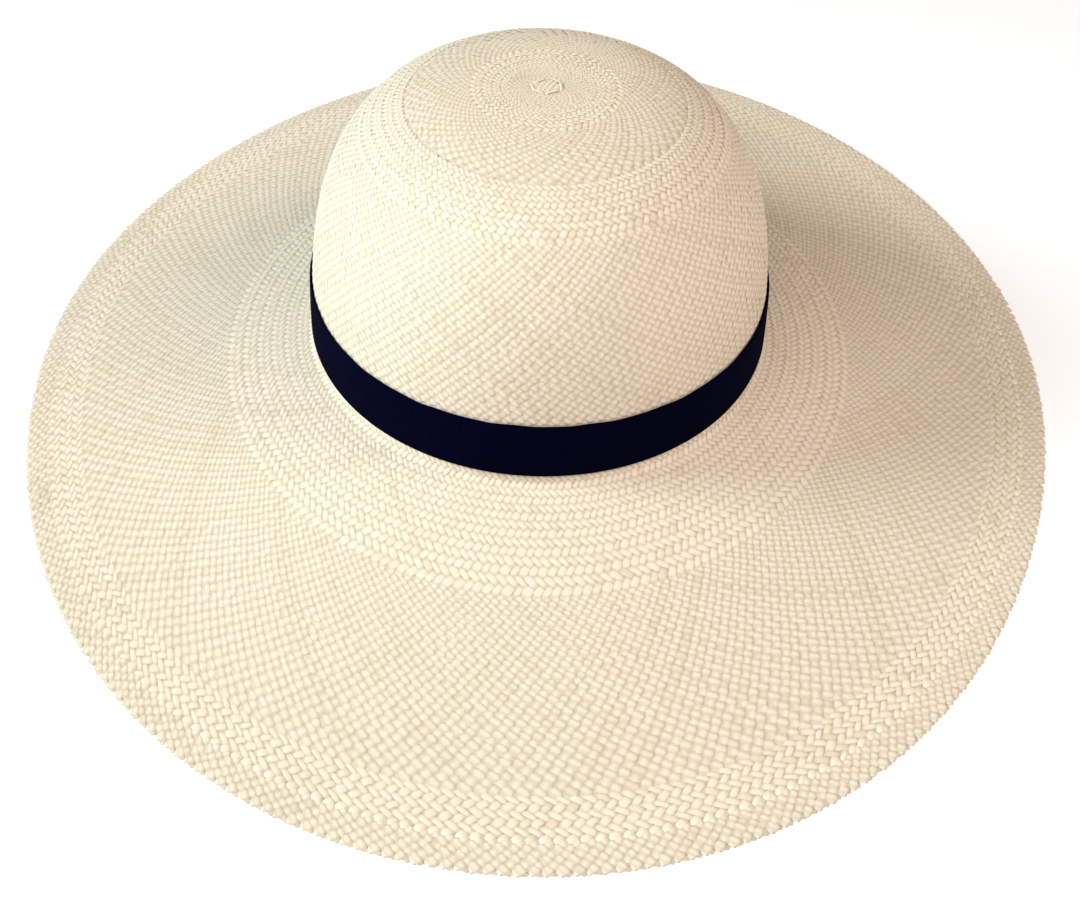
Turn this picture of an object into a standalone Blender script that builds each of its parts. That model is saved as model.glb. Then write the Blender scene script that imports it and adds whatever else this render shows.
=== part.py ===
"""Wide-brimmed straw sun hat: a body woven in one piece, a ribbon with a flat bow behind, and a sweatband.

Metres, +Z up. The hat stands on its brim with the wearer's face towards -Y, and the origin lies on the
table under the middle of the brim. Every piece follows the same oval wall of the crown: `wall` gives a
point on it from an angle, a height over the ribbon's lower edge, and a distance out from the straw.
"""

import math

import bpy
import numpy as np

# Crown: an oval dome, measured on the outside of the straw
CROWN_HALF_WIDTH = 0.0896
CROWN_HALF_LENGTH = 0.0997
CROWN_HEIGHT = 0.0955
CROWN_SIDE_POWER = 2.965  # how late the side starts to turn in
CROWN_TIP_POWER = 3.568  # how flat the tip is
CROWN_TAPER = 0.045  # how much narrower the sides get on their way up
STRAW_THICKNESS = 0.0012

# Brim: an oval with a slight lift behind and a flat border that the hat stands on
BRIM_HALF_WIDTH = 0.2050
BRIM_HALF_LENGTH = 0.2363
BRIM_DROP = 0.0224  # from the foot of the crown down to the flat border
BRIM_BACK_LIFT = 0.012
LIFT_START = 0.25  # sine of the angle where the border starts to leave the table
BRIM_CURVE = 1.8  # 1 is a straight cone, more drops earlier
BRIM_OFFSET_X = 0.0038  # the outline's middle from the crown's middle
BRIM_WAVES = {2: (0.0, 0.0150), 3: (-0.0044, 0.0151), 4: (-0.0015, 0.0005), 5: (0.0004, 0.0023)}
FLAT_FROM = 0.93  # share of the brim's width where the flat border starts
FOOT_RADIUS = 0.004  # rounding between crown and brim

# Ribbon and its bow
GAP = 0.0003
RIBBON_THICKNESS = 0.0006
BAND_BOTTOM = 0.0005
BAND_TOP = 0.0223
BOW_BOTTOM = 0.0028
BOW_TOP = 0.0200
TAIL_THICKNESS = 0.0005
TAIL_HALF_ANGLE = math.radians(25)
TAIL_NOTCH_ANGLE = math.radians(3.4)
LOOP_HALF_ANGLE = math.radians(19)
LOOP_DEPTH = 0.0022
KEEPER_HALF_ANGLE = math.radians(3.6)
KEEPER_THICKNESS = 0.00045

# Sweatband and its trim
LEATHER_THICKNESS = 0.0010
SWEATBAND_BOTTOM = -0.0010
SWEATBAND_TOP = 0.0320
REED_RADIUS = 0.0009
THREAD_RADIUS = 0.00025
THREAD_HEIGHT = 0.0025
INNER_BOW_HALF_WIDTH = 0.0085
INNER_BOW_HALF_HEIGHT = 0.0032
INNER_BOW_THICKNESS = 0.0008
INNER_BOW_HEIGHT = 0.0095
LABEL_THICKNESS = 0.0003
LABEL_MIDDLE = math.radians(118)
LABEL_HALF_ANGLE = math.radians(8)
LABEL_BOTTOM = 0.008
LABEL_TOP = 0.022

ROUND_STEPS = 72
BACK = math.radians(90)


def outline(angle):
    """The brim's edge seen from above, before it is centred: an oval with a few low waves."""
    reach = np.ones_like(angle)
    for order, (cosine, sine) in BRIM_WAVES.items():
        reach = reach + cosine * np.cos(order * angle) + sine * np.sin(order * angle)
    x = BRIM_OFFSET_X + BRIM_HALF_WIDTH * reach * np.cos(angle)
    y = BRIM_HALF_LENGTH * reach * np.sin(angle)
    return x, y


ALL_ROUND = np.linspace(0, 2 * math.pi, ROUND_STEPS, endpoint=False)
EDGE_X, EDGE_Y = outline(ALL_ROUND)
CENTRE_X = -(EDGE_X.max() + EDGE_X.min()) / 2
CENTRE_Y = -(EDGE_Y.max() + EDGE_Y.min()) / 2
BASE_HEIGHT = BRIM_DROP + STRAW_THICKNESS  # the ribbon's lower edge over the table


def dome(height):
    """Share of the base oval that is left at this height."""
    up = np.clip(height / CROWN_HEIGHT, 0, 1)
    return (1 - up**CROWN_SIDE_POWER) ** (1 / CROWN_TIP_POWER) * (1 - CROWN_TAPER * up)


def wall(angle, height, out):
    """Points beside the crown's wall: angle and height may be arrays, out is the distance from the straw."""
    angle, height, out = np.broadcast_arrays(*np.atleast_1d(angle, height, out))
    x = (CROWN_HALF_WIDTH * dome(height) + out) * np.cos(angle) + CENTRE_X
    y = (CROWN_HALF_LENGTH * dome(height) + out) * np.sin(angle) + CENTRE_Y
    return np.stack([x, y, BASE_HEIGHT + height], axis=-1)


def new_collection(name):
    collection = bpy.data.collections.new(name)
    bpy.context.scene.collection.children.link(collection)
    return collection


def new_material(name, colour, roughness):
    material = bpy.data.materials.new(name)
    material.use_nodes = True
    shader = material.node_tree.nodes["Principled BSDF"]
    shader.inputs["Base Color"].default_value = (*colour, 1)
    shader.inputs["Roughness"].default_value = roughness
    shader.inputs["Metallic"].default_value = 0
    return material


def place(name, data, material):
    piece = bpy.data.objects.new(name, data)
    piece.data.materials.append(material)
    HAT.objects.link(piece)
    return piece


def loft(name, rows, material, thickness, offset, closed, pole=None):
    """A skin through rows of points, given a thickness; closed joins each row's ends, pole closes row 0."""
    rows = np.asarray(rows)
    count, around = rows.shape[:2]
    index = np.arange(count * around).reshape(count, around)
    following = np.roll(index, -1, axis=1) if closed else index[:, 1:]
    start = index if closed else index[:, :-1]
    quads = np.stack([start[:-1], start[1:], following[1:], following[:-1]], axis=-1).reshape(-1, 4)
    points = rows.reshape(-1, 3).tolist()
    faces = quads.tolist()
    if pole is not None:
        faces += [[len(points), a, b] for a, b in zip(index[0], np.roll(index[0], -1))]
        points.append(pole)
    mesh = bpy.data.meshes.new(name)
    mesh.from_pydata(points, [], faces)
    mesh.shade_smooth()
    piece = place(name, mesh, material)
    solid = piece.modifiers.new("thickness", "SOLIDIFY")
    solid.thickness = thickness
    solid.offset = offset
    return piece


def ring_of_cord(name, height, out, radius, material):
    """A closed round cord that follows the wall."""
    curve = bpy.data.curves.new(name, "CURVE")
    curve.dimensions = "3D"
    curve.bevel_depth = radius
    curve.bevel_resolution = 2
    curve.use_fill_caps = True
    path = wall(ALL_ROUND, height, out)
    spline = curve.splines.new("POLY")
    spline.points.add(len(path) - 1)
    for point, place_on_path in zip(spline.points, path):
        point.co = (*place_on_path, 1)
    spline.use_cyclic_u = True
    return place(name, curve, material)


def make_straw_body():
    """Crown, rounded foot and brim as one skin, from the tip of the crown out to the border."""
    fine = np.linspace(0, 1, 2000)
    heights = CROWN_HEIGHT * np.cos(fine * math.pi / 2)
    run = np.concatenate([[0], np.cumsum(np.hypot(np.diff(heights),
                                                  CROWN_HALF_WIDTH * np.diff(dome(heights))))])
    steps = np.linspace(0, 1, 15)[1:]
    crown = [wall(ALL_ROUND, np.interp(step * run[-1], run, heights), 0) for step in steps]

    edge_lift = BRIM_BACK_LIFT * np.clip((np.sin(ALL_ROUND) - LIFT_START) / (1 - LIFT_START), 0, 1) ** 2
    edge = np.stack([EDGE_X + CENTRE_X, EDGE_Y + CENTRE_Y, STRAW_THICKNESS + edge_lift], axis=-1)
    slope = BRIM_CURVE * (BRIM_DROP - edge_lift) / (0.5 * (BRIM_HALF_WIDTH + BRIM_HALF_LENGTH)
                                                    - 0.5 * (CROWN_HALF_WIDTH + CROWN_HALF_LENGTH))
    foot_turn = math.pi / 2 - np.arctan(slope)
    foot = []
    for share in (1 / 3, 2 / 3, 1):
        turn = foot_turn * share
        foot.append(wall(ALL_ROUND, 0, FOOT_RADIUS * (1 - np.cos(turn))))
        foot[-1][:, 2] -= FOOT_RADIUS * np.sin(turn)

    brim = []
    for share in (0.12, 0.28, 0.46, 0.64, 0.80, FLAT_FROM, 0.962, 1):
        row = foot[-1] + (edge - foot[-1]) * share
        fall = 1 - (1 - min(share / FLAT_FROM, 1)) ** BRIM_CURVE
        row[:, 2] = foot[-1][:, 2] + (edge[:, 2] - foot[-1][:, 2]) * fall
        brim.append(row)
    tip = (CENTRE_X, CENTRE_Y, BASE_HEIGHT + CROWN_HEIGHT)
    loft("straw_body", crown + foot + brim, STRAW, STRAW_THICKNESS, -1, closed=True, pole=tip)


def make_hat_band():
    rows = [wall(ALL_ROUND, height, GAP) for height in np.linspace(BAND_TOP, BAND_BOTTOM, 4)]
    loft("hat_band", rows, RIBBON, RIBBON_THICKNESS, 1, closed=True)


def make_bow_tail():
    """A flat tail under the bow, with a notch cut into both ends."""
    out = GAP + RIBBON_THICKNESS + GAP
    rows = []
    for height, notch in zip(np.linspace(BOW_TOP, BOW_BOTTOM, 3), (0, TAIL_NOTCH_ANGLE, 0)):
        reach = TAIL_HALF_ANGLE - notch
        rows.append(wall(np.linspace(BACK - reach, BACK + reach, 13), height, out))
    loft("bow_tail", rows, RIBBON, TAIL_THICKNESS, 1, closed=False)


def make_bow_loops():
    """One ribbon folded into a long flat ring, open above and below."""
    inner = GAP + RIBBON_THICKNESS + GAP + TAIL_THICKNESS + GAP
    turn = np.linspace(0, math.pi, 6)
    bend = LOOP_DEPTH / 2 / CROWN_HALF_WIDTH
    right = BACK - LOOP_HALF_ANGLE - bend * np.sin(turn)
    left = BACK + LOOP_HALF_ANGLE + bend * np.sin(turn)
    depth = inner + LOOP_DEPTH / 2 * (1 - np.cos(turn))
    front = np.linspace(BACK - LOOP_HALF_ANGLE, BACK + LOOP_HALF_ANGLE, 11)[1:-1]
    angle = np.concatenate([right, front, left[::-1], front[::-1]])
    out = np.concatenate([depth, np.full(9, depth[-1]), depth[::-1], np.full(9, depth[0])])
    rows = [wall(angle, height, out) for height in (BOW_TOP, (BOW_TOP + BOW_BOTTOM) / 2, BOW_BOTTOM)]
    loft("bow_loops", rows, RIBBON, TAIL_THICKNESS, -1, closed=True)


def make_bow_keeper():
    """A short ribbon wrapped over the middle of the loops, its ends turned in above and below them."""
    near = GAP + RIBBON_THICKNESS + GAP
    far = near + TAIL_THICKNESS + GAP + LOOP_DEPTH + GAP
    top = BOW_TOP + GAP
    bottom = BOW_BOTTOM - GAP
    section = ((top, near), (top, far), (bottom, far), (bottom, near))
    angles = np.linspace(BACK - KEEPER_HALF_ANGLE, BACK + KEEPER_HALF_ANGLE, 4)
    rows = [wall(angles, height, out) for height, out in section]
    keeper = loft("bow_keeper", rows, RIBBON, KEEPER_THICKNESS, 1, closed=False)
    keeper.modifiers["thickness"].use_even_offset = True


def make_sweatband():
    """A band of leather inside the crown; its lower edge hangs just under the foot of the crown."""
    out = -STRAW_THICKNESS - GAP
    rows = [wall(ALL_ROUND, height, out) for height in np.linspace(SWEATBAND_TOP, SWEATBAND_BOTTOM, 5)]
    loft("sweatband", rows, LEATHER, LEATHER_THICKNESS, -1, closed=True)


def make_sweatband_trim():
    """The cord under the band's edge, the thread that sews it in, the bow on its join, and a blank label."""
    inside = -STRAW_THICKNESS - GAP - LEATHER_THICKNESS - GAP
    ring_of_cord("sweatband_reed", SWEATBAND_BOTTOM - GAP - REED_RADIUS,
                 -STRAW_THICKNESS - GAP - LEATHER_THICKNESS / 2, REED_RADIUS, CORD)
    ring_of_cord("sweatband_thread", THREAD_HEIGHT, inside - THREAD_RADIUS, THREAD_RADIUS, THREAD)

    curve = bpy.data.curves.new("sweatband_bow", "CURVE")
    curve.dimensions = "2D"
    curve.fill_mode = "BOTH"
    curve.extrude = INNER_BOW_THICKNESS / 2
    along = np.linspace(-1, 1, 13)
    swell = INNER_BOW_HALF_HEIGHT * (0.35 + 0.65 * np.sin(np.abs(along) * math.pi / 1.7))
    upper = np.stack([along * INNER_BOW_HALF_WIDTH, swell], axis=-1)
    spline = curve.splines.new("POLY")
    spline.points.add(2 * len(upper) - 1)
    for point, (x, y) in zip(spline.points, np.concatenate([upper, upper[::-1] * (1, -1)])):
        point.co = (x, y, 0, 1)
    spline.use_cyclic_u = True
    bow = place("sweatband_bow", curve, LEATHER_BOW)
    side = wall(BACK - INNER_BOW_HALF_WIDTH / CROWN_HALF_WIDTH, INNER_BOW_HEIGHT, inside)[0]
    bow.location = (CENTRE_X, side[1] - INNER_BOW_THICKNESS / 2 - GAP, side[2])
    bow.rotation_euler = (math.pi / 2, 0, 0)

    angles = np.linspace(LABEL_MIDDLE - LABEL_HALF_ANGLE, LABEL_MIDDLE + LABEL_HALF_ANGLE, 6)
    rows = [wall(angles, height, inside) for height in np.linspace(LABEL_TOP, LABEL_BOTTOM, 3)]
    loft("size_label", rows, LABEL, LABEL_THICKNESS, -1, closed=False)


for leftover in list(bpy.data.objects):
    bpy.data.objects.remove(leftover, do_unlink=True)

HAT = new_collection("straw_sun_hat")
STRAW = new_material("straw", (0.82, 0.74, 0.58), 0.6)
RIBBON = new_material("ribbon", (0.004, 0.005, 0.022), 0.75)
LEATHER = new_material("leather", (0.62, 0.42, 0.25), 0.55)
LEATHER_BOW = new_material("bow_ribbon", (0.30, 0.19, 0.11), 0.6)
CORD = new_material("cord", (0.70, 0.62, 0.50), 0.7)
THREAD = new_material("thread", (0.80, 0.74, 0.62), 0.7)
LABEL = new_material("label", (0.88, 0.86, 0.80), 0.8)

make_straw_body()
make_hat_band()
make_bow_tail()
make_bow_loops()
make_bow_keeper()
make_sweatband()
make_sweatband_trim()
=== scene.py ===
"""Looks of a wide-brimmed straw sun hat: every straw of the weave, the ribbon and its bow, the sweatband.

Metres, +Z up, the wearer's face towards -Y. The hat stands on its brim at z = 0.
"""

import math

import bpy
import numpy as np
from mathutils import Matrix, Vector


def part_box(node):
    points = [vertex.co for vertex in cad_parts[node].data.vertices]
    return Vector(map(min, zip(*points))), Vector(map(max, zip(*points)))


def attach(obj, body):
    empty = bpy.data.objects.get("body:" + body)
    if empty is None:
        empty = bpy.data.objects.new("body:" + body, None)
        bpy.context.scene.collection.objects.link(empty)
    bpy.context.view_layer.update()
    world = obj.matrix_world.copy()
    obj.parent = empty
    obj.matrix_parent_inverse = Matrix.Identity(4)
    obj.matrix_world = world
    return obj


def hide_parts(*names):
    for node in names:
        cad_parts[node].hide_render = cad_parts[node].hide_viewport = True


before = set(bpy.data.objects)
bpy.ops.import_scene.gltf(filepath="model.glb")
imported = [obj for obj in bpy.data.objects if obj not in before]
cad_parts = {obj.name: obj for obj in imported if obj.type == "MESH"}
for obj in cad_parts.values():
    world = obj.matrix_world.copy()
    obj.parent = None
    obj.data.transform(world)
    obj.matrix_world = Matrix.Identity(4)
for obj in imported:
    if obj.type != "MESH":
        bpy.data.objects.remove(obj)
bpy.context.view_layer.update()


# ---- The form of the straw body ------------------------------------------------------------------
# The body is blocked over a wooden form: an oval dome, a tight rounded foot, and a brim that falls
# in a soft curve to a flat border and lifts a little behind. Its places come from the ribbon, which
# goes round the foot of the crown, and from the body's own box.

band_low, band_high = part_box("hat_band")
body_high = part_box("straw_body")[1]
RIBBON_OUT = 0.0009  # outer face of the ribbon from the straw
STRAW_THICKNESS = 0.0012
CENTRE_X = (band_low.x + band_high.x) / 2
CENTRE_Y = (band_low.y + band_high.y) / 2
HALF_WIDTH = (band_high.x - band_low.x) / 2 - RIBBON_OUT
HALF_LENGTH = (band_high.y - band_low.y) / 2 - RIBBON_OUT
BRIM_DROP = 0.0224  # from the foot of the crown down to the flat border
BASE_HEIGHT = BRIM_DROP + STRAW_THICKNESS
CROWN_HEIGHT = body_high.z - BASE_HEIGHT
# How late the side turns in, how flat the tip is, and how much the crown narrows on its way up.
SIDE_POWER, TIP_POWER, TAPER = 2.965, 3.568, 0.045
FOOT_RADIUS = 0.004  # rounding between crown and brim
BRIM_HALF_WIDTH, BRIM_HALF_LENGTH, BRIM_OFFSET_X = 0.2050, 0.2363, 0.0038
# The outline's slow unevenness: the cosine and sine shares of its reach, by their order.
BRIM_WAVES = {2: (0.0, 0.0150), 3: (-0.0044, 0.0151), 4: (-0.0015, 0.0005), 5: (0.0004, 0.0023)}
# The back lifts past this sine of the angle; more curve drops earlier; the border is flat from a share on.
BACK_LIFT, LIFT_START, BRIM_CURVE, FLAT_FROM = 0.012, 0.25, 1.8, 0.93
MEAN_RADIUS = (HALF_WIDTH + HALF_LENGTH) / 2
MEAN_EDGE = (BRIM_HALF_WIDTH + BRIM_HALF_LENGTH) / 2
BACK = math.pi / 2


def dome(height):
    """Share of the base oval at a height: a superellipse that also narrows evenly on its way up."""
    up = np.clip(height / CROWN_HEIGHT, 0, 1)
    return (1 - up**SIDE_POWER) ** (1 / TIP_POWER) * (1 - TAPER * up)


# The way down from the tip, in metres along the middle of the side, against height and share.
fall = CROWN_HEIGHT * np.sin(np.linspace(math.pi / 2, 0, 6000))
steps = np.hypot(np.diff(fall), MEAN_RADIUS * np.diff(dome(fall)))
CROWN_RUN = np.concatenate([[0], np.cumsum(steps)])
CROWN_FALL, CROWN_SHARE = fall, dome(fall)
CROWN_WAY = CROWN_RUN[-1]
FOOT_WAY = 0.0054  # round the foot
BRIM_WAY = MEAN_EDGE - MEAN_RADIUS - 0.003  # less what the rounding has used
EDGE_WAY = CROWN_WAY + FOOT_WAY + BRIM_WAY


def hat_point(turn, way):
    """The straw's upper face at an angle round the hat and a way down from its tip.

    At the share b of the brim its drop is 1 - (1 - b / FLAT_FROM)^BRIM_CURVE of the whole.
    """
    share = np.interp(way, CROWN_RUN, CROWN_SHARE)
    height = np.interp(way, CROWN_RUN, CROWN_FALL)
    lift = BACK_LIFT * np.clip((np.sin(turn) - LIFT_START) / (1 - LIFT_START), 0, 1) ** 2
    slope = BRIM_CURVE * (BRIM_DROP - lift) / (MEAN_EDGE - MEAN_RADIUS)
    bend = (math.pi / 2 - np.arctan(slope)) * np.clip((way - CROWN_WAY) / FOOT_WAY, 0, 1)
    out = FOOT_RADIUS * (1 - np.cos(bend))
    x = (HALF_WIDTH * share + out) * np.cos(turn)
    y = (HALF_LENGTH * share + out) * np.sin(turn)
    z = height - FOOT_RADIUS * np.sin(bend)
    reach = 1.0
    for order, (cosine, sine) in BRIM_WAVES.items():
        reach = reach + cosine * np.cos(order * turn) + sine * np.sin(order * turn)
    brim = np.clip((way - CROWN_WAY - FOOT_WAY) / BRIM_WAY, 0, 2)
    drop = 1 - (1 - np.clip(brim / FLAT_FROM, 0, 1)) ** BRIM_CURVE
    x = x + (BRIM_OFFSET_X + BRIM_HALF_WIDTH * reach * np.cos(turn) - x) * brim
    y = y + (BRIM_HALF_LENGTH * reach * np.sin(turn) - y) * brim
    z = z + (lift - BRIM_DROP - z) * drop
    return np.stack([x + CENTRE_X, y + CENTRE_Y, z + BASE_HEIGHT], axis=-1)


def unit(vectors):
    """Vectors divided by their own lengths."""
    return vectors / np.linalg.norm(vectors, axis=-1, keepdims=True)


def hat_slopes(turn, way):
    """The tangent round the form and its outward normal, by small differences."""
    step_turn, step_way = 1e-3, 2e-4
    round_it = (hat_point(turn + step_turn, way) - hat_point(turn - step_turn, way)) / (2 * step_turn)
    near, far = np.maximum(way - step_way, 0), way + step_way
    down = (hat_point(turn, far) - hat_point(turn, near)) / (far - near)[..., None]
    return round_it, unit(np.cross(down, round_it))


# ---- Straw: its material ------------------------------------------------------------------------
# Bleached toquilla palm, split into flat straws. Each straw has a tone of its own, cream, pinkish or
# greenish, with fine fibres along it and a soft sheen.


class Value:
    """A shader socket that takes part in Python sums; each sum adds its Math node."""

    def __init__(self, material, socket):
        self.material, self.socket = material, socket

    def math(self, operation, first, second):
        return self.material.add("ShaderNodeMath", {"operation": operation}, {0: first, 1: second})

    def __add__(self, other):
        return self.math("ADD", self, other)

    def __radd__(self, other):
        return self.math("ADD", other, self)

    def __sub__(self, other):
        return self.math("SUBTRACT", self, other)

    def __rsub__(self, other):
        return self.math("SUBTRACT", other, self)

    def __mul__(self, other):
        return self.math("MULTIPLY", self, other)

    def __rmul__(self, other):
        return self.math("MULTIPLY", other, self)


class Finish:
    """A material whose nodes are added one by one to its Principled shader."""

    def __init__(self, name, **constants):
        self.made = bpy.data.materials.new(name)
        self.made.use_nodes = True
        self.tree = self.made.node_tree
        self.shader = self.tree.nodes["Principled BSDF"]
        for socket, value in constants.items():
            self.shader.inputs[socket.replace("_", " ")].default_value = value

    def add(self, kind, settings=None, inputs=None, output=0):
        """A node of this kind, its settings first and then its sockets, as the Value of one output."""
        node = self.tree.nodes.new(kind)
        for name, setting in (settings or {}).items():
            if name == "stops":
                ramp = node.color_ramp.elements
                while len(ramp) < len(setting):
                    ramp.new(0.5)
                for element, (position, colour) in zip(ramp, setting):
                    element.position, element.color = position, (*colour, 1)
            else:
                setattr(node, name, setting)
        for name, value in (inputs or {}).items():
            self.feed(node.inputs[name], value)
        return Value(self, node.outputs[output])

    def feed(self, socket, value):
        if isinstance(value, Value):
            self.tree.links.new(value.socket, socket)
        else:
            socket.default_value = value

    def wear(self, **sockets):
        for name, value in sockets.items():
            self.feed(self.shader.inputs[name.replace("_", " ")], value)

    def noise(self, vector, scale, detail=2.0, roughness=0.5):
        return self.add("ShaderNodeTexNoise", {}, {"Vector": vector, "Scale": scale, "Detail": detail,
                                                   "Roughness": roughness})

    def mix(self, share, first, second):
        """Two colours mixed; sockets 6 and 7 are a Mix node's colour inputs, and output 2 its colour."""
        return self.add("ShaderNodeMix", {"data_type": "RGBA"}, {0: share, 6: first, 7: second}, output=2)

    def bump(self, height, strength, distance):
        return self.add("ShaderNodeBump", {}, {"Height": height, "Strength": strength,
                                               "Distance": distance})

    def uv(self, across, along):
        """The piece's own UV map, stretched; x runs across it and y along it."""
        plain = self.add("ShaderNodeTexCoord", output="UV")
        return self.add("ShaderNodeMapping", {}, {"Vector": plain, "Scale": (across, along, 1)})


STRAW_TONES = [(0.0, (0.60, 0.475, 0.33)), (0.18, (0.74, 0.625, 0.46)), (0.45, (0.83, 0.725, 0.565)),
               (0.68, (0.84, 0.715, 0.575)), (0.85, (0.80, 0.725, 0.535)), (1.0, (0.88, 0.795, 0.66))]
# Painted shade: the darker tone that the straw's creases are mixed towards, and how far.
PAINTED_CREASE_SHADE = (0.42, 0.36, 0.265, 1)
PAINTED_SHADE_DEPTH = 0.58  # how much of that tone the deepest crease takes


def straw_finish():
    """A straw's own tone counts most, then patches of the body, then its fibres.

    Shade is painted into its creases: it is darker along both edges, and where it dips under another.
    """
    straw = Finish("woven_straw", Roughness=0.6, Specular_IOR_Level=0.3)
    tone = straw.add("ShaderNodeAttribute", {"attribute_name": "tone"}, output="Fac")
    places = straw.add("ShaderNodeTexCoord", output="Object")
    patches = straw.noise(places, 26.0, 2.0)
    fibres = straw.noise(straw.uv(9.0, 1.6), 1.0, 3.0, 0.6)
    pick = tone * 0.66 + patches * 0.34 + fibres * 0.16 - 0.08
    colour = straw.add("ShaderNodeValToRGB", {"stops": STRAW_TONES}, {"Fac": pick})
    # The crease attribute is painted shade, darker along the edges and where the straw dips.
    crease = straw.add("ShaderNodeAttribute", {"attribute_name": "crease"}, output="Fac")
    edge = straw.add("ShaderNodeMapRange", {"interpolation_type": "SMOOTHSTEP"},
                     {"Value": crease, "From Min": 0.05, "From Max": 1.1, "To Min": 0.0,
                      "To Max": PAINTED_SHADE_DEPTH})
    shaded = straw.mix(edge, colour, PAINTED_CREASE_SHADE)
    straw.wear(Base_Color=shaded, Roughness=0.5 + fibres * 0.2,
               Normal=straw.bump(fibres, 0.35, 0.0002))
    return straw.made


STRAW = straw_finish()
# Painted shade at both edges of every straw.
RIM_PAINTED_SHADE = 0.6


def lay_mesh(name, points, faces, finish, uv=None, attributes=None):
    """A smooth mesh from a point array and groups of faces, each group an array of corner numbers.

    The volume inside a closed mesh is a sixth of the sum of its triangles' triple products; where that
    comes out negative the faces look inwards, and every one is turned round.
    """
    points = np.asarray(points, float)
    volume = 0.0
    for group in faces:
        for second in range(1, group.shape[1] - 1):
            edges = np.cross(points[group[:, second]], points[group[:, second + 1]])
            volume += (points[group[:, 0]] * edges).sum()
    if volume < 0:
        if uv is not None:
            cuts = np.cumsum([group.size for group in faces])[:-1]
            sides = [part.reshape(group.shape + (2,))[:, ::-1].reshape(-1, 2)
                     for part, group in zip(np.split(np.asarray(uv), cuts), faces)]
            uv = np.concatenate(sides)
        faces = [group[:, ::-1] for group in faces]
    mesh = bpy.data.meshes.new(name)
    sizes = np.concatenate([np.full(len(group), group.shape[1]) for group in faces])
    corners = np.concatenate([group.ravel() for group in faces])
    mesh.vertices.add(len(points))
    mesh.vertices.foreach_set("co", np.asarray(points, np.float32).ravel())
    mesh.loops.add(len(corners))
    mesh.loops.foreach_set("vertex_index", corners.astype(np.int32))
    mesh.polygons.add(len(sizes))
    starts = np.concatenate([[0], np.cumsum(sizes)[:-1]])
    mesh.polygons.foreach_set("loop_start", starts.astype(np.int32))
    mesh.update(calc_edges=True)
    if uv is not None:
        layer = mesh.uv_layers.new(name="UVMap")
        layer.data.foreach_set("uv", np.asarray(uv, np.float32).ravel())
    for label, values in (attributes or {}).items():
        made = mesh.attributes.new(label, "FLOAT", "POINT")
        made.data.foreach_set("value", np.asarray(values, np.float32).ravel())
    mesh.materials.append(finish)
    mesh.shade_smooth()
    mesh.validate()
    piece = bpy.data.objects.new(name, mesh)
    bpy.context.scene.collection.objects.link(piece)
    return piece


def tubes(name, centres, sideways, upward, section, finish, tone, along, dip_shade=np.zeros((1, 1))):
    """Many straws at once: a cross-section carried along each row of centres.

    centres, sideways and upward are (straw, step, 3) arrays, and section is a (corner, 2) outline that
    runs anticlockwise, in units of sideways and upward. Each tube is capped at both ends. The crease
    attribute is painted shade: the rim's painted shade times the square of the place across the straw,
    plus the dip shade. The edges along both rims are sharp, so that the upper face keeps its own smooth
    shading.
    """
    straws, steps_each = centres.shape[:2]
    corners = len(section)
    points = (centres[:, :, None] + sideways[:, :, None] * section[:, :1]
              + upward[:, :, None] * section[:, 1:])
    index = np.arange(straws * steps_each * corners).reshape(straws, steps_each, corners)
    here, ahead = index[:, :-1], index[:, 1:]
    quads = np.stack([here, ahead, np.roll(ahead, -1, 2), np.roll(here, -1, 2)], axis=-1)
    faces = [quads.reshape(-1, 4)]
    number = np.arange(straws)[:, None, None] + np.zeros(here.shape)
    across = np.arange(corners) / corners + number
    reach, reach_ahead = along[:, :-1, None] + 0 * across, along[:, 1:, None] + 0 * across
    step = 1 / corners
    uv = np.stack([np.stack([across, reach], -1), np.stack([across, reach_ahead], -1),
                   np.stack([across + step, reach_ahead], -1), np.stack([across + step, reach], -1)], -2)
    uv = uv.reshape(-1, 2)
    faces += [index[:, 0], index[:, -1, ::-1]]
    ends = np.concatenate([np.stack([across[:, 0], reach[:, 0]], -1).reshape(-1, 2),
                           np.stack([across[:, -1, ::-1], reach[:, -1]], -1).reshape(-1, 2)])
    uv = np.concatenate([uv, ends])
    shade = np.broadcast_to(tone[:, None, None], index.shape)
    # Painted shade: darker towards both rims, and where the straw dips under another.
    crease = np.broadcast_to(RIM_PAINTED_SHADE * section[:, 0] ** 2 + dip_shade[..., None], index.shape)
    piece = lay_mesh(name, points.reshape(-1, 3), faces, finish, uv,
                     {"tone": shade.ravel(), "crease": crease.ravel()})
    pairs = np.empty(len(piece.data.edges) * 2, np.int32)
    piece.data.edges.foreach_get("vertices", pairs)
    pairs = pairs.reshape(-1, 2) % corners
    keen = (pairs[:, 0] == pairs[:, 1]) & (np.abs(section[pairs[:, 0], 0]) > 0.99)
    piece.data.attributes.new("sharp_edge", "BOOLEAN", "EDGE").data.foreach_set("value", keen)
    return piece


# ---- Straw body: the weave ------------------------------------------------------------------------
# One weaver works the whole body from the tip outwards with two sets of straws that spiral against
# each other. Rings where the straws pass over one are plain, rings where they pass over two are
# herringbone, and new straws are laid in at a few rings as the hat widens.

STRAW_SECTION = np.array([(1, -0.1), (0.5, 0.8), (-0.5, 0.8), (-1, -0.1), (0, -0.9)])
STRAW_HALF_THICKNESS = 0.00019
FULL_ROOM = 0.0020  # straws with less room than this are thinner too
WEAVE_HEIGHT = 0.00022  # how far a straw rises over its neighbours, and dips under them
MID_DEPTH = 0.00054  # the middle of the weave below the form
FLOAT_HEIGHT, TUCK = 1.25, -1.6  # a herringbone straw's height, and both ends of any straw, in that unit
DRIFT, SWAY, STRAY = 0.11, 0.06, 0.05  # uneven spacing: by straw, slowly along it, and at each crossing
PROUD_HEIGHT, PROUD_SHARE = 0.00009, {"plain": 0.6, "herringbone": 0.1}
UNEVEN_HEIGHT = 0.00003
GRAIN = 400  # fibre pattern units in a metre of straw
seeds = np.random.default_rng(20)

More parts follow.
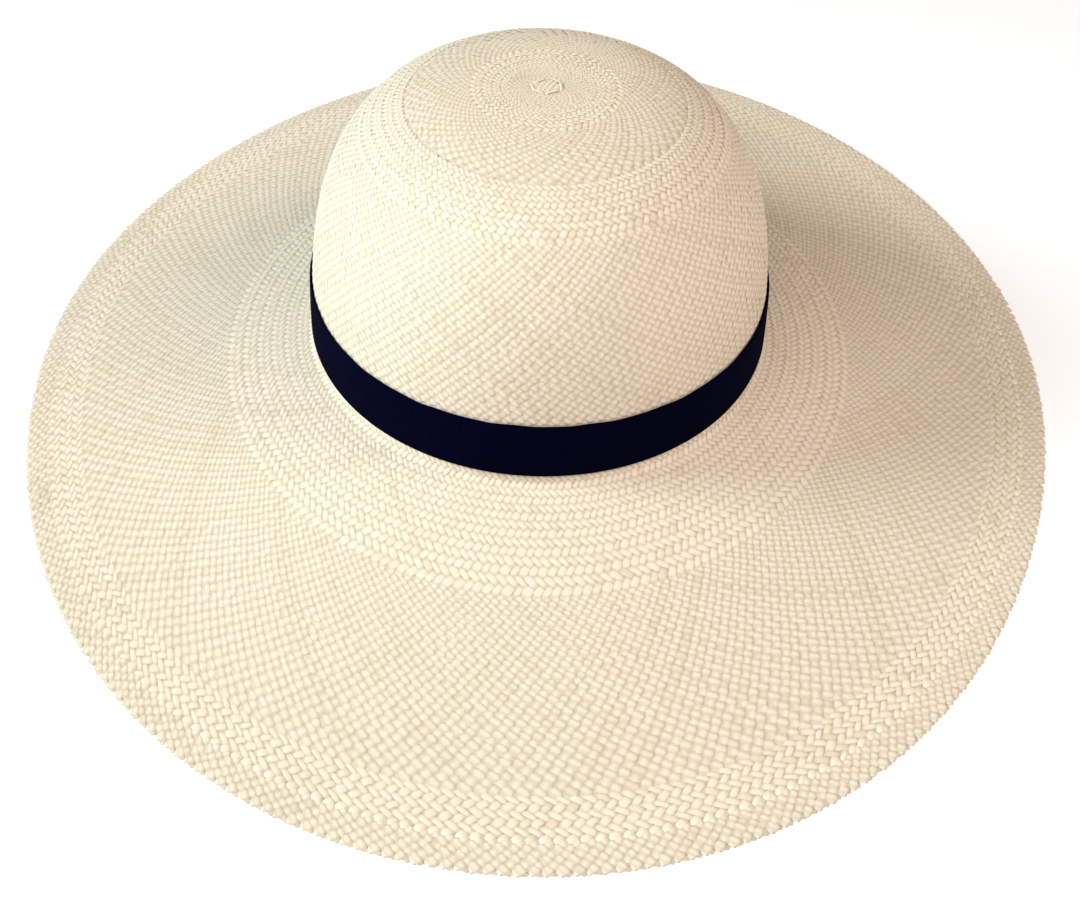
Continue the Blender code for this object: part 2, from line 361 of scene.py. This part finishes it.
# How far the weave has widened on its way out: the sum of steps over radius, which spaces the rings.
ways = np.linspace(0.0008, EDGE_WAY + 0.02, 8000)
radii = np.where(ways < CROWN_WAY, MEAN_RADIUS * np.interp(ways, CROWN_RUN, CROWN_SHARE),
                 MEAN_RADIUS + (MEAN_EDGE - MEAN_RADIUS) * (ways - CROWN_WAY) / (EDGE_WAY - CROWN_WAY))
WIDENING = np.concatenate([[0], np.cumsum(np.diff(ways) / (0.5 * (radii[1:] + radii[:-1])))])


def weave(name, start, stop, straws, kind, closeness, slant, lead=1.0, tail=1.0, cover=1.0):
    """A zone of the weave between two ways: both sets of straws, in one mesh for each set.

    Straw i of a set passes ring k at the angle (2 i +- k) pi / straws, plus the slant that the whole
    zone gains on its way out. The rings' spacing grows with the radius, so that the straws keep their
    angle; closeness sets how many rings there are, and lead and tail how far a straw reaches past the
    first and the last. Its height follows a cosine, of period 2 rings (plain) or 4 rings (herringbone).
    One set stands proud and lies wider at the back left, and the other at the front right.
    """
    first, last = np.interp([start, stop], ways, WIDENING)
    rings = max(2, round((last - first) * straws * closeness / math.pi))
    step = (last - first) / rings
    ring = np.concatenate([[-lead], np.arange(-0.5, rings - 0.25, 0.5), [rings - 0.5 + tail]])
    spread = first + (ring + 0.5) * step
    for side, label in ((1, "a"), (-1, "b")):
        if kind == "plain":
            high = np.cos(math.pi * ring)
        else:
            high = FLOAT_HEIGHT * np.cos(math.pi / 2 * (ring - 0.5))
        high = high * side
        high[0], high[-1] = TUCK, TUCK
        drift = seeds.uniform(-DRIFT, DRIFT, straws + 1)
        drift[-1] = drift[0]
        sway = SWAY * np.sin(ring * 0.37 + seeds.uniform(0, 6.28, straws + 1)[:, None])
        sway[-1] = sway[0]
        gaps = drift[:, None] + sway
        middle = np.arange(straws)[:, None] + (gaps[:-1] + gaps[1:]) / 2
        share = 1 + gaps[1:] - gaps[:-1]
        stray = seeds.normal(0, STRAY, middle.shape)
        turn = (2 * middle + stray + side * ring) * math.pi / straws + slant * spread
        way = np.broadcast_to(np.interp(spread, WIDENING, ways), turn.shape)
        round_it, normal = hat_slopes(turn, way)
        surface = hat_point(turn, way)
        heading = unit(np.gradient(surface, axis=1))
        sideways = np.cross(heading, normal)
        room = np.linalg.norm(np.cross(round_it * (2 * math.pi / straws), heading), axis=-1)
        shown = np.clip(np.abs(high), 0, 1)
        half_width = 0.51 * cover * room * share * (0.97 + 0.07 * shown)
        half_width[:, [0, -1]] *= 0.6
        thick = np.minimum(1.0, 0.3 + 0.7 * room / FULL_ROOM)
        proud = -side * np.cos(turn + math.pi / 4) * PROUD_SHARE[kind]
        half_width *= 1 + 0.05 * proud
        bumpy = (high * WEAVE_HEIGHT + PROUD_HEIGHT * proud) * thick
        bumpy = bumpy + seeds.normal(0, UNEVEN_HEIGHT, turn.shape)
        centres = surface + normal * (bumpy - MID_DEPTH)[..., None]
        upward = np.cross(sideways, unit(np.gradient(centres, axis=1)))
        upward *= np.where((upward * normal).sum(-1, keepdims=True) < 0, -1, 1)
        tone = seeds.beta(2.2, 2.0, straws)
        along = np.concatenate([np.zeros((straws, 1)), np.cumsum(
            np.linalg.norm(np.diff(surface, axis=1), axis=-1), axis=1)], axis=1) * GRAIN
        # The last argument is painted shade where a straw dips under the other set.
        piece = tubes(f"{name}_{label}", centres, sideways * half_width[..., None],
                      upward * (STRAW_HALF_THICKNESS * thick)[..., None], STRAW_SECTION, STRAW, tone,
                      along + seeds.uniform(0, 50, (straws, 1)), 0.7 * (1 - shown)[None, :])
        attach(piece, "root")
        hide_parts("straw_body")


weave("straw_tip", 0.0046, 0.0080, 22, "plain", 1.1, 0.2)
weave("straw_rings_first", 0.0080, 0.0145, 34, "plain", 1.2, 0.25)
weave("straw_rings_second", 0.0145, 0.0290, 60, "herringbone", 1.2, 0.25)
weave("straw_rings_third", 0.0290, 0.0530, 68, "plain", 1.45, 0.30)
weave("straw_shoulder", 0.0542, 0.0742, 142, "herringbone", 1.2, 0.26, lead=0.75)
weave("straw_side", 0.0742, CROWN_WAY - 0.010, 142, "plain", 1.25, 0.26)
weave("straw_brim_inner", CROWN_WAY - 0.010, 0.2020, 236, "herringbone", 1.0, 0.2)
weave("straw_brim_middle", 0.2020, 0.2643, 252, "plain", 1.13, 0.30)
weave("straw_brim_outer", 0.2643, 0.2770, 305, "herringbone", 1.85, 0.30)
weave("straw_border", 0.2772, 0.2861, 305, "plain", 1.45, 0.3, tail=0.4, cover=0.97)

# The weaving starts at the tip as a small square of straws laid over and under each other. It stands
# a little proud, and a few straws are carried round it in arcs before the rings begin.

KNOT_STRAWS, KNOT_PITCH, KNOT_TURN = 8, 0.00125, math.radians(24)
KNOT_RISE, KNOT_REACH = 0.00045, 0.0062  # how proud its middle stands, and how far out that ends
KNOT_TUCK = 0.0009  # how far the end of a straw goes down
tip_height = float(hat_point(0.0, 0.0)[2])
offset = (np.arange(KNOT_STRAWS) - (KNOT_STRAWS - 1) / 2) * KNOT_PITCH
step = np.arange(-KNOT_STRAWS, KNOT_STRAWS + 0.5) / 2
for side, label in ((0, "a"), (1, "b")):
    reach = step * KNOT_PITCH * 1.04
    x = reach[None, :] + 0 * offset[:, None]
    y = offset[:, None] * (1 + 0.012 * (step**2)[None, :]) + 0.00035 * np.cos(step * 0.55)[None, :]
    cell = np.floor(step + KNOT_STRAWS / 2)
    over = np.where((cell[None, :] + np.arange(KNOT_STRAWS)[:, None] + side) % 2 < 1, 1.0, -1.0)
    over[:, ::2] = 0.0
    far = np.hypot(x, y)
    z = tip_height - MID_DEPTH + KNOT_RISE * (1 - (far / KNOT_REACH) ** 2) + over * WEAVE_HEIGHT * 0.9
    z = z - KNOT_TUCK * (np.abs(step) > 3.9)[None, :]
    if side:
        x, y = -y, x
    centres = np.stack([x * math.cos(KNOT_TURN) - y * math.sin(KNOT_TURN) + CENTRE_X,
                        x * math.sin(KNOT_TURN) + y * math.cos(KNOT_TURN) + CENTRE_Y, z], -1)
    heading = unit(np.gradient(centres, axis=1))
    sideways = unit(np.cross(heading, (0.0, 0.0, 1.0)))
    upward = np.cross(sideways, heading)
    # The last argument is painted shade where a straw goes under another.
    piece = tubes(f"straw_knot_{label}", centres, sideways * KNOT_PITCH * 0.5,
                  upward * STRAW_HALF_THICKNESS, STRAW_SECTION, STRAW,
                  seeds.beta(2.5, 1.6, KNOT_STRAWS), np.cumsum(np.ones_like(x), axis=1) * 0.3,
                  0.5 * (1 - np.abs(over)))
    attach(piece, "root")
    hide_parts("straw_body")

ARCS, ARC_FAR, ARC_RISE, ARC_HALF_WIDTH = 6, 0.0050, 0.00028, 0.00062
sweep = np.linspace(-1, 1, 17)
arc_turn = (np.arange(ARCS) * 2 * math.pi / ARCS + np.array([0.1, -0.1, 0.05, 0.2, -0.15, 0.0]))[:, None]
arc_turn = arc_turn + sweep * 0.62
arc_far = ARC_FAR + 0.0009 * sweep**2 + 0.0004 * np.sin(np.arange(ARCS) * 2.3)[:, None]
arc_z = tip_height - 0.00012 + ARC_RISE * (1 - sweep**2) - KNOT_TUCK * sweep**8 + 0 * arc_far
centres = np.stack([arc_far * np.cos(arc_turn) + CENTRE_X, arc_far * np.sin(arc_turn) + CENTRE_Y,
                    arc_z], -1)
heading = unit(np.gradient(centres, axis=1))
sideways = unit(np.cross(heading, (0.0, 0.0, 1.0)))
# The last argument is painted shade towards the ends, where each arc goes down.
piece = tubes("straw_knot_arcs", centres, sideways * (ARC_HALF_WIDTH * (1 - 0.5 * sweep**4))[:, None],
              np.cross(sideways, heading) * STRAW_HALF_THICKNESS, STRAW_SECTION, STRAW,
              seeds.uniform(0.5, 1.0, ARCS), np.cumsum(np.ones_like(arc_far), axis=1) * 0.2,
              0.5 * sweep[None, :] ** 2)
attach(piece, "root")
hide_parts("straw_body")

# ---- Hat band -------------------------------------------------------------------------------------
# A flat grosgrain ribbon, near-black navy, wrapped round the foot of the crown and tacked at the back.
# Its crosswise ribs run from selvedge to selvedge; both selvedges are a smooth woven cord.


def wall(turn, height, out):
    """A place on the crown's side at an angle round it, a height, and a distance out from the straw."""
    share = dome(height)
    x = (HALF_WIDTH * share + out) * np.cos(turn) + CENTRE_X
    y = (HALF_LENGTH * share + out) * np.sin(turn) + CENTRE_Y
    return np.stack(np.broadcast_arrays(x, y, height + BASE_HEIGHT), axis=-1)


def slab(name, front, back, finish, node, uv_size=(1.0, 1.0), closed=False):
    """A closed sheet from two (row, column) grids of points, front and back, joined round its rim.

    Columns may run round in a ring. The UV map runs along the columns and across the rows, in units of
    uv_size of the sheet's own length and width.
    """
    rows, columns = front.shape[:2]
    section = np.concatenate([front, back[::-1]])
    around = len(section)
    index = np.arange(around * columns).reshape(around, columns)
    below = np.roll(index, -1, 0)
    if closed:
        near, far = index, np.roll(index, -1, 1)
        next_far, next_near = np.roll(below, -1, 1), below
    else:
        near, far, next_far, next_near = index[:, :-1], index[:, 1:], below[:, 1:], below[:, :-1]
    quads = np.stack([near, far, next_far, next_near], -1)
    across = np.linspace(0, 1, rows) * uv_size[1]
    across = np.concatenate([across, across[::-1]])
    level = across[:, None] + np.zeros(quads.shape[1])
    next_level = np.roll(across, -1)[:, None] + np.zeros(quads.shape[1])
    reach = np.arange(quads.shape[1]) / quads.shape[1] * uv_size[0] + np.zeros(quads.shape[:2])
    step = uv_size[0] / quads.shape[1]
    uv = np.stack([np.stack([reach, level], -1), np.stack([reach + step, level], -1),
                   np.stack([reach + step, next_level], -1), np.stack([reach, next_level], -1)], -2)
    faces, uv = [quads.reshape(-1, 4)], uv.reshape(-1, 2)
    if not closed:
        top, bottom = index[:rows - 1], index[1:rows]
        back_top, back_bottom = index[::-1][:rows - 1], index[::-1][1:rows]
        for column, order in ((0, 1), (-1, -1)):
            end = np.stack([top[:, column], bottom[:, column], back_bottom[:, column],
                            back_top[:, column]], -1)[:, ::order]
            faces.append(end)
            uv = np.concatenate([uv, np.zeros((end.size, 2))])
    piece = lay_mesh(name, section.reshape(-1, 3), faces, finish, uv)
    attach(piece, "root")
    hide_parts(node)


def ribbon_finish():
    ribbon = Finish("grosgrain", Roughness=0.9, Specular_IOR_Level=0.02)
    places = ribbon.add("ShaderNodeTexCoord", output="Object")
    weave_noise = ribbon.noise(places, 900.0, 2.0)
    shade = ribbon.mix(weave_noise, (0.0003, 0.0004, 0.0060, 1), (0.0009, 0.0012, 0.0130, 1))
    ribbon.wear(Base_Color=shade, Normal=ribbon.bump(weave_noise, 0.25, 0.0001))
    return ribbon.made


RIBBON = ribbon_finish()
RIB_PITCH, RIB_HEIGHT = 0.00105, 0.00011
band_height = (band_low.z - BASE_HEIGHT, band_high.z - BASE_HEIGHT)


def grosgrain(name, turns, heights, out, thickness, node, length, closed=False):
    """A ribbon on the wall: ribs across it as a raised cosine, fading out over its two selvedges.

    turns holds the angles along it; a second row of angles is where its middle ends, for notched ends.
    """
    ribs = max(4, round(length / RIB_PITCH))
    columns = ribs * 4 + (0 if closed else 1)
    rows = np.array([0, 0.012, 0.03, 0.06, 0.28, 0.5, 0.72, 0.94, 0.97, 0.988, 1])
    along = np.arange(columns) / (ribs * 4)
    turn = np.interp(along, np.linspace(0, 1, len(turns[0])), turns[0])
    if len(turns) > 1:
        other = np.interp(along, np.linspace(0, 1, len(turns[1])), turns[1])
        bulge = (1 - np.abs(2 * rows - 1))[:, None]
        turn = turn + (other - turn) * bulge
    height = heights[0] + (heights[1] - heights[0]) * rows[:, None]
    wave = 0.00012 * np.sin(turn * 23.0 + 1.3) + 0.00008 * np.sin(turn * 41.0)
    height = height + wave * (rows[:, None] > 0.5)
    rib = 0.5 + 0.5 * np.cos(2 * math.pi * ribs * along)
    selvedge = np.clip(np.minimum(rows, 1 - rows) / 0.05, 0, 1)[:, None]
    edge_round = np.clip(np.minimum(rows, 1 - rows) / 0.03, 0, 1)[:, None] ** 0.5
    ribbing = RIB_HEIGHT * (rib * selvedge + (1 - selvedge) * 0.6)
    body = thickness * (0.35 + 0.65 * edge_round)
    face = np.broadcast_to(turn, (len(rows), columns))
    front = wall(face, height, out + body - RIB_HEIGHT + ribbing)
    back = wall(face, height, out)
    slab(name, front, back, RIBBON, node, (length * 1000, 20.0), closed)


grosgrain("hat_band_ribbon", [np.array([0, 2 * math.pi])], band_height, 0.0003, 0.0006, "hat_band",
          2 * math.pi * MEAN_RADIUS, closed=True)

# ---- Bow behind the crown -------------------------------------------------------------------------
# The ribbon's join is covered by a flat bow: a tail with both ends notched, a long ribbon folded into
# two flat loops over it, and a short ribbon wrapped round the middle.

tail_low, tail_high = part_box("bow_tail")
BOW_HEIGHT = (tail_low.z - BASE_HEIGHT, tail_high.z - BASE_HEIGHT)
BOW_MIDDLE, BOW_HALF = sum(BOW_HEIGHT) / 2, (BOW_HEIGHT[1] - BOW_HEIGHT[0]) / 2
TAIL_REACH, NOTCH = math.radians(25), math.radians(3.4)
LOOP_REACH, KEEPER_REACH = math.radians(19), math.radians(3.6)
tail_turns = BACK - TAIL_REACH * np.linspace(1, -1, 60)
notched = BACK - (TAIL_REACH - NOTCH) * np.linspace(1, -1, 60)
grosgrain("bow_tail_ribbon", [tail_turns, notched], BOW_HEIGHT, 0.0012, 0.0005, "bow_tail",
          2 * TAIL_REACH * HALF_WIDTH)

# The loops' ribbon runs along the outer face, round a bend, back along the inner face, and round again.
LOOP_DEPTH, LOOP_THICKNESS, LOOP_INNER = 0.0022, 0.0005, 0.0020
lap = np.linspace(0, 2 * math.pi, 720, endpoint=False)
squared = np.sign(np.cos(lap)) * np.abs(np.cos(lap)) ** 0.16
side_way = np.sign(np.sin(lap)) * np.abs(np.sin(lap)) ** 0.75
loop_turn = BACK + LOOP_REACH * np.clip(squared * 1.01, -1, 1)
pinch = 1 - 0.45 * np.exp(-((loop_turn - BACK) / math.radians(5.0)) ** 2)
middle_out = LOOP_INNER + LOOP_DEPTH / 2
rows = np.array([0, 0.03, 0.08, 0.3, 0.5, 0.7, 0.92, 0.97, 1])[:, None]
rib_wave = 0.00008 * np.cos(lap * 46)
loop_height = BOW_MIDDLE + 2 * BOW_HALF * (rows - 0.5) * (0.90 + 0.10 * pinch)
reach_out = (LOOP_DEPTH / 2) * side_way * pinch
turn_grid = np.broadcast_to(loop_turn, (len(rows), len(lap)))
loop_front = wall(turn_grid, loop_height, middle_out + reach_out + rib_wave)
shrink = 1 - LOOP_THICKNESS / LOOP_DEPTH * 2 * 0.8
loop_back = wall(BACK + (turn_grid - BACK) * 0.982, loop_height, middle_out + reach_out * shrink)
slab("bow_loops_ribbon", loop_front, loop_back, RIBBON, "bow_loops", (90.0, 20.0), closed=True)

# The keeper goes over both edges of the loops; its own ribs run round it, across the bow.
keeper_across = np.linspace(-1, 1, 25)
wrap = np.linspace(-0.5, 0.5, 41)[:, None]
over_top = np.clip(np.abs(wrap) * 2, 0, 1)
keeper_height = BOW_MIDDLE + np.clip(wrap * 2.25, -1, 1) * (BOW_HALF + 0.0006)
keeper_depth = 0.0034 * (1 - np.clip((over_top - 0.80) / 0.20, 0, 1) ** 2) + 0.0010
keeper_round = 0.0003 * (1 - keeper_across**2) + 0.00009 * np.cos(wrap * 2 * math.pi * 24)
keeper_grid = np.broadcast_to(BACK + KEEPER_REACH * keeper_across, (41, 25))
keeper_front = wall(keeper_grid, keeper_height, keeper_depth + keeper_round + 0.0004)
keeper_back = wall(keeper_grid, BOW_MIDDLE + (keeper_height - BOW_MIDDLE) * 0.965, keeper_depth + 0.0001)
slab("bow_keeper_ribbon", keeper_front, keeper_back, RIBBON, "bow_keeper", (8.0, 20.0))

# ---- Sweatband ------------------------------------------------------------------------------------
# A band of soft tan leather lines the foot of the crown. Its top edge is free and a little wavy, its
# lower edge is turned over a thin twisted cord, and a row of stitches sews it to the straw.

band_in_low, band_in_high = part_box("sweatband")
LINING_LOW, LINING_HIGH = band_in_low.z - BASE_HEIGHT, band_in_high.z - BASE_HEIGHT
LINING_OUT, LEATHER_THICKNESS = -0.0015, 0.0010
LINING_EASE = 0.0003  # how far the leather stands clear of the straw behind it


def leather_finish():
    leather = Finish("sweatband_leather", Roughness=0.5, Specular_IOR_Level=0.4)
    places = leather.add("ShaderNodeTexCoord", output="Object")
    grain = leather.add("ShaderNodeTexVoronoi", {"feature": "DISTANCE_TO_EDGE"},
                        {"Vector": places, "Scale": 900.0})
    patches = leather.noise(places, 35.0, 3.0)
    shade = leather.mix(patches, (0.40, 0.235, 0.125, 1), (0.56, 0.36, 0.20, 1))
    leather.wear(Base_Color=shade, Roughness=0.42 + patches * 0.2,
                 Normal=leather.bump(grain, 0.3, 0.0001))
    return leather.made


LEATHER = leather_finish()
ring_turn = np.linspace(0, 2 * math.pi, 480, endpoint=False)
rows = np.linspace(0, 1, 22)[:, None]
leather_height = LINING_LOW + (LINING_HIGH - LINING_LOW) * rows
edge = np.clip(np.minimum(rows, 1 - rows) / 0.05, 0, 1) ** 0.5
sag = 0.00025 * np.sin(ring_turn * 9 + 0.7) * rows ** 2 + 0.0001 * np.sin(ring_turn * 23) * rows
pucker = -0.00012 * np.exp(-((rows - 0.105) / 0.03) ** 2)
ring_grid = np.broadcast_to(ring_turn, (22, 480))
leather_out = wall(ring_grid, leather_height, LINING_OUT - LINING_EASE)
leather_in = wall(ring_grid, leather_height, LINING_OUT - LINING_EASE
                  - (LEATHER_THICKNESS - LINING_EASE) * edge - np.abs(sag) - pucker)
slab("sweatband_leather", leather_in, leather_out, LEATHER, "sweatband", (600.0, 33.0),
     closed=True)


def round_cord(name, height, out, radius, finish, node, strands, twists, sides=10, columns=2200):
    """A twisted cord round the crown; its radius swells with each strand as the strands wind round."""
    turn = np.linspace(0, 2 * math.pi, columns, endpoint=False)
    corner = np.linspace(0, 2 * math.pi, sides, endpoint=False)[:, None]
    swell = radius * (0.84 + 0.16 * np.abs(np.cos((corner - twists * turn) * strands / 2)))
    points = wall(np.broadcast_to(turn, (sides, columns)), height + swell * np.sin(corner),
                  out + swell * np.cos(corner))
    points[..., 2] = height + BASE_HEIGHT + swell * np.sin(corner)
    index = np.arange(sides * columns).reshape(sides, columns)
    above, ahead = np.roll(index, -1, 0), np.roll(index, -1, 1)
    quads = np.stack([index, ahead, np.roll(above, -1, 1), above], -1).reshape(-1, 4)
    piece = lay_mesh(name, points.reshape(-1, 3), [quads], finish)
    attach(piece, "root")
    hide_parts(node)


cord = Finish("reed_cord", Roughness=0.75, Specular_IOR_Level=0.25)
cord_places = cord.add("ShaderNodeTexCoord", output="Object")
cord.wear(Base_Color=cord.mix(cord.noise(cord_places, 400.0), (0.50, 0.42, 0.30, 1), (0.72, 0.65, 0.52, 1)))
reed_low, reed_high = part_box("sweatband_reed")
REED_RADIUS = (reed_high.z - reed_low.z) / 2
round_cord("sweatband_reed_cord", (reed_low.z + reed_high.z) / 2 - BASE_HEIGHT,
           LINING_OUT - LEATHER_THICKNESS / 2 + LINING_EASE, REED_RADIUS, cord.made,
           "sweatband_reed", strands=3, twists=220)

# Each stitch is a short length of thread that comes out of the leather and goes back into it.
thread = Finish("sewing_thread", Roughness=0.7, Specular_IOR_Level=0.3)
thread_places = thread.add("ShaderNodeTexCoord", output="Object")
thread.wear(Base_Color=thread.mix(thread.noise(thread_places, 700.0), (0.66, 0.58, 0.44, 1),
                                  (0.80, 0.74, 0.62, 1)))
STITCHES, STITCH_RADIUS, STITCH_HEIGHT = 132, 0.00024, 0.0025
stitch = np.linspace(-1, 1, 9)
stitch_turn = (np.arange(STITCHES)[:, None] + 0.5 + 0.36 * stitch) * 2 * math.pi / STITCHES
bow_out = -0.0028 - 0.00012 * (1 - stitch**4) + 0.0006 * stitch**8
stitch_middle = wall(stitch_turn, STITCH_HEIGHT, np.broadcast_to(bow_out, stitch_turn.shape))
stitch_up = np.zeros_like(stitch_middle)
stitch_up[..., 2] = STITCH_RADIUS
stitch_side = np.cross(unit(np.gradient(stitch_middle, axis=1)), stitch_up)
circle = np.linspace(0, 2 * math.pi, 7)[:-1, None]
stitches = tubes("sweatband_stitches", stitch_middle, stitch_side, stitch_up,
                 np.concatenate([np.cos(circle), np.sin(circle)], 1), thread.made,
                 np.full(STITCHES, 0.5), np.cumsum(np.ones_like(stitch_turn), axis=1))
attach(stitches, "root")
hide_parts("sweatband_thread")

# ---- Bow and label inside the sweatband -----------------------------------------------------------
# A tiny flat bow of brown ribbon covers the leather's join at the back, and a blank woven label is
# sewn to the band beside it.

bow_low, bow_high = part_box("sweatband_bow")
inner_bow = Finish("inner_bow_ribbon", Roughness=0.42, Specular_IOR_Level=0.45, Sheen_Weight=0.2)
satin_places = inner_bow.add("ShaderNodeTexCoord", output="Object")
satin = inner_bow.noise(satin_places, 500.0, 2.0)
inner_bow.wear(Base_Color=inner_bow.mix(satin, (0.16, 0.085, 0.045, 1), (0.27, 0.155, 0.085, 1)),
               Normal=inner_bow.bump(satin, 0.2, 0.0001))
bow_middle = (bow_low + bow_high) / 2
bow_reach, bow_rise = (bow_high.x - bow_low.x) / 2, (bow_high.z - bow_low.z) / 2
along = np.linspace(-1, 1, 61)
across = np.linspace(-1, 1, 15)[:, None]
spread = bow_rise * (0.34 + 0.66 * np.sin(np.clip(np.abs(along), 0, 1) * math.pi / 1.75) ** 0.8)
puffed = 0.0011 * np.sin(np.clip(np.abs(along) * 1.02, 0, 1) * math.pi) ** 0.7 + 0.0003
crease = 1 - 0.35 * np.exp(-np.abs(along) * 6) * np.cos(across * 9) ** 2
bow_x = bow_middle.x + along * bow_reach + 0 * across
bow_z = bow_middle.z + across * spread
bow_curve = (bow_x - CENTRE_X) ** 2 / (2 * HALF_WIDTH**2 / HALF_LENGTH)
bow_y = bow_high.y - 0.0001 - bow_curve
bow_front = np.stack([bow_x, bow_y - puffed * (1 - across**4 * 0.7) * crease - 0.0002, bow_z], -1)
bow_back = np.stack([bow_x, bow_y + 0 * bow_z, bow_z], -1)
slab("sweatband_bow_loops", bow_front, bow_back, inner_bow.made, "sweatband_bow", (17.0, 6.0))
knot_along = np.linspace(-1, 1, 13)
knot_across = np.linspace(-1, 1, 17)[:, None]
knot_x = bow_middle.x + knot_along * 0.00135 * (1 - 0.2 * knot_across**2)
knot_z = bow_middle.z + knot_across * 0.0018 + 0 * knot_along
knot_y = bow_high.y - 0.0002 + 0 * knot_z
knot_depth = 0.0016 * (1 - knot_across**6) * (1 - 0.5 * knot_along**4) + 0.0002
slab("sweatband_bow_knot", np.stack([knot_x, knot_y - knot_depth, knot_z], -1),
     np.stack([knot_x, knot_y, knot_z], -1), inner_bow.made, "sweatband_bow", (3.0, 4.0))

LABEL_TURN, LABEL_REACH = math.radians(118), math.radians(8)
label_low, label_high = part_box("size_label")
label = Finish("woven_label", Roughness=0.8, Specular_IOR_Level=0.2)
warp = label.add("ShaderNodeTexWave", {"wave_type": "BANDS", "bands_direction": "X"},
                 {"Vector": label.uv(8.0, 1.0), "Scale": 1.0})
weft = label.add("ShaderNodeTexWave", {"wave_type": "BANDS", "bands_direction": "Y"},
                 {"Vector": label.uv(1.0, 8.0), "Scale": 1.0})
label_weave = warp * 0.5 + weft * 0.5
label.wear(Base_Color=label.mix(label_weave, (0.74, 0.71, 0.62, 1), (0.88, 0.86, 0.79, 1)),
           Normal=label.bump(label_weave, 0.3, 0.0001))
label_across, label_up = np.linspace(-1, 1, 41), np.linspace(0, 1, 17)[:, None]
label_turn = np.broadcast_to(LABEL_TURN + LABEL_REACH * label_across, (17, 41))
label_height = (label_low.z + (label_high.z - label_low.z) * label_up) - BASE_HEIGHT
rim = np.clip(np.minimum(1 - np.abs(label_across), label_up * 2) * 9, 0, 1)
rim = np.minimum(rim, np.clip((1 - label_up) * 18, 0, 1))
label_front = wall(label_turn, label_height, -0.00285 - 0.00022 * rim ** 0.5)
label_back = wall(label_turn, label_height, -0.0028 + 0 * rim)
slab("size_label_cloth", label_front, label_back, label.made, "size_label", (14.0, 14.0))

# ---- Floor, light and camera ----------------------------------------------------------------------
# A pale studio floor that glows faintly, so that it stays pale, under a sky that is nearly dark. Five
# soft lights stand round the hat: two cool ones on the left, and three warmer ones in front and right.

floor_finish = Finish("studio_floor", Roughness=0.9, Specular_IOR_Level=0.2)
floor_finish.wear(Base_Color=(0.80, 0.80, 0.80, 1), Emission_Color=(1, 1, 1, 1), Emission_Strength=0.28)
FLOOR_HALF = 30.0
floor = lay_mesh("studio_floor", np.array([(-FLOOR_HALF, -FLOOR_HALF, 0), (FLOOR_HALF, -FLOOR_HALF, 0),
                                           (FLOOR_HALF, FLOOR_HALF, 0), (-FLOOR_HALF, FLOOR_HALF, 0)]),
                 [np.array([[0, 1, 2, 3]])], floor_finish.made)

scene = bpy.context.scene
scene.view_settings.view_transform = "Standard"
world = bpy.data.worlds.new("studio_sky")
world.use_nodes = True
world.node_tree.nodes["Background"].inputs["Color"].default_value = (0.96, 0.97, 1.0, 1)
world.node_tree.nodes["Background"].inputs["Strength"].default_value = 0.03
scene.world = world


def soft_light(name, place, target, size, power, colour):
    """A round area light at a place, turned so that its own Z axis points away from the target."""
    data = bpy.data.lights.new(name, "AREA")
    data.shape, data.size, data.energy, data.color = "DISK", size, power, colour
    lamp = bpy.data.objects.new(name, data)
    away = unit(np.array(place, float) - np.array(target, float))
    side = unit(np.cross((0, 0, 1), away))
    lamp.matrix_world = Matrix.Translation(place) @ Matrix(
        np.stack([side, np.cross(away, side), away], axis=1).tolist()).to_4x4()
    scene.collection.objects.link(lamp)


# Each light: its angle round the hat and above the floor in degrees, distance, watts and colour.
LIGHT_MIDDLE, LIGHT_AIM, LIGHT_SPREAD = (0, 0, 0.05), (0, 0, 0.04), 0.4
LIGHTS = {
    "window_left": (186, 30, 2.0, 38.0, (0.82, 0.97, 1.0)),
    "window_upper": (225, 36, 2.0, 11.0, (0.85, 0.90, 1.0)),
    "window_front": (250, 46, 1.1, 2.7, (1.0, 0.95, 0.86)),
    "room_right": (315, 50, 2.0, 9.0, (1.0, 0.86, 0.84)),
    "lamp_right": (350, 44, 2.0, 17.0, (1.0, 0.85, 0.76)),
}
for name, (azimuth, height, distance, power, colour) in LIGHTS.items():
    flat, up = math.radians(azimuth), math.radians(height)
    place = distance * np.array([math.cos(up) * math.cos(flat), math.cos(up) * math.sin(flat), math.sin(up)])
    soft_light(name, place + LIGHT_MIDDLE, LIGHT_AIM, LIGHT_SPREAD * distance, power, colour)

CAMERA_PITCH, CAMERA_ROLL = 0.7525, 0.0407  # radians
CAMERA_DISTANCE = 0.5782
CAMERA_AIM = np.array([CENTRE_X + 0.0028, CENTRE_Y, BASE_HEIGHT - 0.0799])
CAMERA_LENS, SENSOR_WIDTH = 43.26533, 36  # mm
backward = np.array([0, -math.cos(CAMERA_PITCH), math.sin(CAMERA_PITCH)])
level = np.array([1.0, 0, 0])
upright = np.cross(backward, level)
rightward = math.cos(CAMERA_ROLL) * level + math.sin(CAMERA_ROLL) * upright
upward = -math.sin(CAMERA_ROLL) * level + math.cos(CAMERA_ROLL) * upright
camera_data = bpy.data.cameras.new("camera")
camera_data.sensor_width = SENSOR_WIDTH
camera_data.lens = CAMERA_LENS
camera_data.clip_start = 0.01
camera = bpy.data.objects.new("camera", camera_data)
camera.matrix_world = Matrix.Translation(CAMERA_AIM + backward * CAMERA_DISTANCE) @ Matrix(
    np.stack([rightward, upward, backward], axis=1).tolist()).to_4x4()
scene.collection.objects.link(camera)
scene.camera = camera
